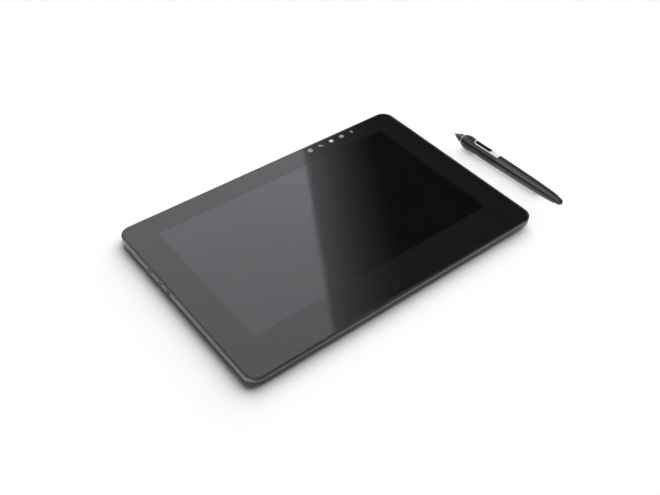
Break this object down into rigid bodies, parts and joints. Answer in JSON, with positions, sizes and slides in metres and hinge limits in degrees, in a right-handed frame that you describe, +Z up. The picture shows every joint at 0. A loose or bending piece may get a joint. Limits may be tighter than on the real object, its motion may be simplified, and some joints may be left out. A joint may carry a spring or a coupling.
{
  "type": "pen tablet with screen",
  "caption": "Slim charcoal drawing tablet with a glossy built-in screen, touch-key symbols, side sockets and fold-out legs, with its cordless pen beside it.",
  "frame": {"origin": "on the table under the middle of the box round the tablet and the pen beside it", "axes": "+X along the tablet's long side towards the pen, +Y towards the far edge with the touch keys, +Z up"},
  "size_m": [0.4108, 0.236, 0.0165],
  "materials": {
    "front_glass": "lightly etched cover glass",
    "black_print": "black printed border",
    "key_print": "pale printed symbols",
    "black_gasket": "soft black gasket",
    "foot_rubber": "matt rubber",
    "clear_film": "clear touch film",
    "dark_panel": "dark panel cell behind its polariser",
    "white_film": "white optical film",
    "clear_acrylic": "clear moulded light guide",
    "light_strip": "white board with lamps",
    "tray_steel": "rolled steel sheet",
    "board_green": "solder mask over copper",
    "chip_black": "moulded chip body",
    "frame_metal": "cast and machined light metal",
    "pipe_copper": "drawn copper",
    "cover_paint": "satin charcoal paint on metal",
    "socket_steel": "drawn steel shell",
    "jack_plastic": "black moulded jack",
    "screw_steel": "blackened steel",
    "cable_film": "amber flexible circuit",
    "pen_soft": "soft-touch grip",
    "pen_shell": "fine matt moulded shell",
    "pen_bright": "bright metal trim",
    "pen_key": "polished black key",
    "nib_plastic": "hard plastic nib"
  },
  "bodies": {
    "tablet": {"rear_cover": "cover_paint", "cover_glass": "front_glass", "bezel_mask": "black_print", "glass_gasket": "black_gasket", "key_symbols": "key_print", "touch_key_board": "board_green", "touch_film": "clear_film", "lcd_cell": "dark_panel", "diffuser_film": "white_film", "prism_film": "white_film", "light_guide": "clear_acrylic", "reflector_film": "white_film", "led_bar": "light_strip", "panel_tray": "tray_steel", "pen_sensor_board": "board_green", "sensor_shield": "tray_steel", "mid_frame": "frame_metal", "left_port_board": "board_green", "right_port_board": "board_green", "usb_socket_left_rear": "socket_steel", "usb_socket_left_front": "socket_steel", "usb_socket_right": "socket_steel", "headphone_jack": "jack_plastic", "card_slot": "socket_steel", "power_switch": "chip_black", "front_foot": "foot_rubber", "rear_foot": "foot_rubber", "cover_screws": "screw_steel", "board_screws": "screw_steel", "main_board": "board_green", "board_chips": "chip_black", "display_cable": "cable_film", "sensor_cable": "cable_film", "fan_housing": "tray_steel", "cooling_fins": "frame_metal", "heat_pipe": "pipe_copper", "vent_mesh": "tray_steel", "left_leg_pin": "screw_steel", "right_leg_pin": "screw_steel"},
    "leg_left": {"left_leg": "cover_paint", "left_leg_tip": "foot_rubber"},
    "leg_right": {"right_leg": "cover_paint", "right_leg_tip": "foot_rubber"},
    "power_key": {"power_button": "cover_paint"},
    "fan": {"fan_rotor": "chip_black"},
    "pen": {"pen_cone": "pen_shell", "pen_ring": "pen_bright", "pen_grip": "pen_soft", "pen_barrel": "pen_shell", "tail_collar": "pen_shell", "switch_frame": "pen_bright", "switch_pin": "screw_steel", "pen_coil": "pipe_copper", "pressure_sensor": "chip_black", "pen_board": "board_green", "eraser_sensor": "chip_black"},
    "nib": {"pen_nib": "nib_plastic"},
    "rocker": {"side_switch": "pen_key"},
    "tail": {"eraser": "pen_shell"}
  },
  "joints": [
    {"name": "left_leg_hinge", "type": "hinge", "parent": "tablet", "child": "leg_left", "pos_m": [-0.14338, 0.08617, 0.0027], "axis": [1, 0, 0], "range_deg": [0, 95]},
    {"name": "right_leg_hinge", "type": "hinge", "parent": "tablet", "child": "leg_right", "pos_m": [0.09262, 0.08617, 0.0027], "axis": [1, 0, 0], "range_deg": [0, 95]},
    {"name": "power_button_press", "type": "slide", "parent": "tablet", "child": "power_key", "axis": [0, -1, 0], "range_m": [0, 0.0005], "stiffness_N_per_m": 400},
    {"name": "fan_spin", "type": "hinge", "parent": "tablet", "child": "fan", "pos_m": [-0.07538, 0.06217, 0.00389], "axis": [0, 0, 1], "continuous": true},
    {"name": "pen_lift", "type": "slide", "parent": "tablet", "child": "pen", "axis": [0, 0, 1], "range_m": [0, 0.15]},
    {"name": "nib_press", "type": "slide", "parent": "pen", "child": "nib", "axis": [0.0366, -0.9992, -0.014], "range_m": [0, 0.0006], "stiffness_N_per_m": 400},
    {"name": "side_switch_rock", "type": "hinge", "parent": "pen", "child": "rocker", "pos_m": [0.19665, -0.00455, 0.01255], "axis": [-0.9938, -0.0379, 0.1045], "range_deg": [-2.5, 2.5], "stiffness_Nm_per_rad": 0.05},
    {"name": "eraser_press", "type": "slide", "parent": "pen", "child": "tail", "axis": [-0.0366, 0.9992, 0.014], "range_m": [0, 0.0008], "stiffness_N_per_m": 400}
  ]
}
